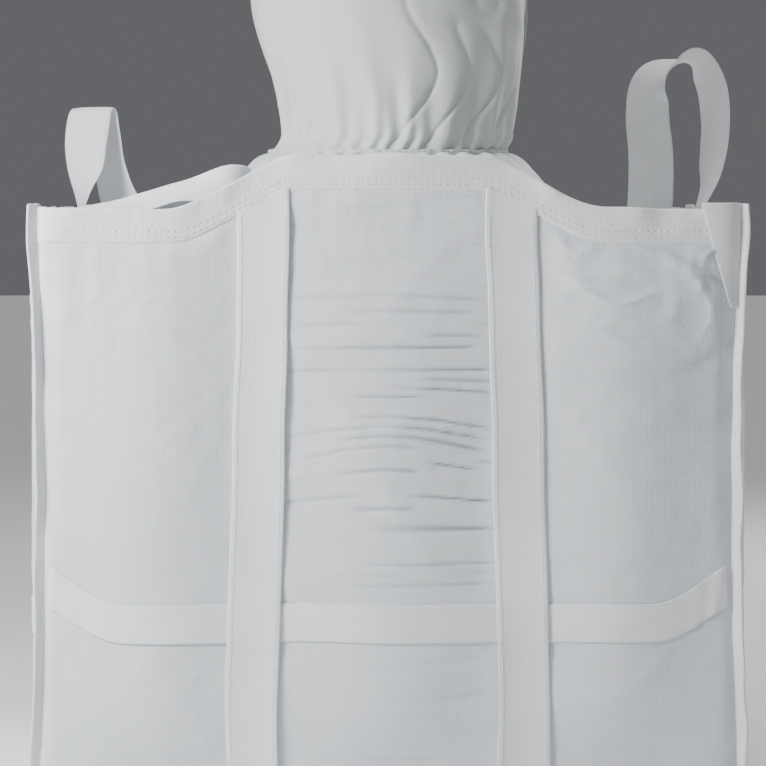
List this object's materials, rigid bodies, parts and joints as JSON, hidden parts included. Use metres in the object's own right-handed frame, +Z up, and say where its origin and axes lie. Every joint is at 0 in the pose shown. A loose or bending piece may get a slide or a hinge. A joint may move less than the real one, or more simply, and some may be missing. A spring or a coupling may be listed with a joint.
{
  "type": "bulk bag",
  "caption": "Filled square woven bulk bag with baffled sides, reinforcing webbing, corner lifting loops that fold and a filling spout that collapses.",
  "frame": {"origin": "on the ground under the middle of the bag", "axes": "+Z up, -Y towards the front face, +X to the right of someone looking at the front"},
  "size_m": [1.0189, 1.0173, 1.2655],
  "materials": {
    "body_fabric": "satin",
    "webbing": "satin",
    "seam_tape": "satin",
    "spout_fabric": "satin",
    "baffle_fabric": "matte",
    "granulate": "matte"
  },
  "bodies": {
    "bag": {"back_panel": "body_fabric", "baffle_back_left": "baffle_fabric", "baffle_back_right": "baffle_fabric", "baffle_front_left": "baffle_fabric", "baffle_front_right": "baffle_fabric", "base_panel": "body_fabric", "belly_band_back": "webbing", "belly_band_front": "webbing", "belly_band_left": "webbing", "belly_band_right": "webbing", "bulk_fill": "granulate", "corner_seam_back_left": "seam_tape", "corner_seam_back_right": "seam_tape", "corner_seam_front_left": "seam_tape", "corner_seam_front_right": "seam_tape", "filling_spout": "spout_fabric", "front_panel": "body_fabric", "left_panel": "body_fabric", "loop_tail_back_left_end": "webbing", "loop_tail_back_left_side": "webbing", "loop_tail_back_right_end": "webbing", "loop_tail_back_right_side": "webbing", "loop_tail_front_left_end": "webbing", "loop_tail_front_left_side": "webbing", "loop_tail_front_right_end": "webbing", "loop_tail_front_right_side": "webbing", "right_panel": "body_fabric", "spout_collar": "seam_tape", "top_hem_back": "seam_tape", "top_hem_front": "seam_tape", "top_hem_left": "seam_tape", "top_hem_right": "seam_tape", "top_panel": "body_fabric", "vertical_strap_back_left": "webbing", "vertical_strap_back_right": "webbing", "vertical_strap_front_left": "webbing", "vertical_strap_front_right": "webbing", "vertical_strap_left_back": "webbing", "vertical_strap_left_front": "webbing", "vertical_strap_right_back": "webbing", "vertical_strap_right_front": "webbing"},
    "spout_mouth": {"spout_mouth_hem": "spout_fabric"},
    "loop_back_left": {"lifting_loop_back_left": "webbing"},
    "loop_back_right": {"lifting_loop_back_right": "webbing"},
    "loop_front_left": {"lifting_loop_front_left": "webbing"},
    "loop_front_right": {"lifting_loop_front_right": "webbing"}
  },
  "joints": [
    {"name": "loop_back_left_swing", "type": "hinge", "parent": "bag", "child": "loop_back_left", "pos_m": [-0.44162, 0.44162, 0.744], "axis": [-0.7071, -0.7071, 0], "range_deg": [-75, 75]},
    {"name": "loop_back_right_swing", "type": "hinge", "parent": "bag", "child": "loop_back_right", "pos_m": [0.44162, 0.44162, 0.744], "axis": [-0.7071, 0.7071, 0], "range_deg": [-75, 75]},
    {"name": "loop_front_left_swing", "type": "hinge", "parent": "bag", "child": "loop_front_left", "pos_m": [-0.44162, -0.44162, 0.744], "axis": [0.7071, -0.7071, 0], "range_deg": [0, 150]},
    {"name": "loop_front_right_swing", "type": "hinge", "parent": "bag", "child": "loop_front_right", "pos_m": [0.44162, -0.44162, 0.744], "axis": [0.7071, 0.7071, 0], "range_deg": [0, 150]},
    {"name": "spout_collapse", "type": "slide", "parent": "bag", "child": "spout_mouth", "axis": [0, 0, 1], "range_m": [-0.3, 0], "deforming": ["filling_spout"]}
  ]
}
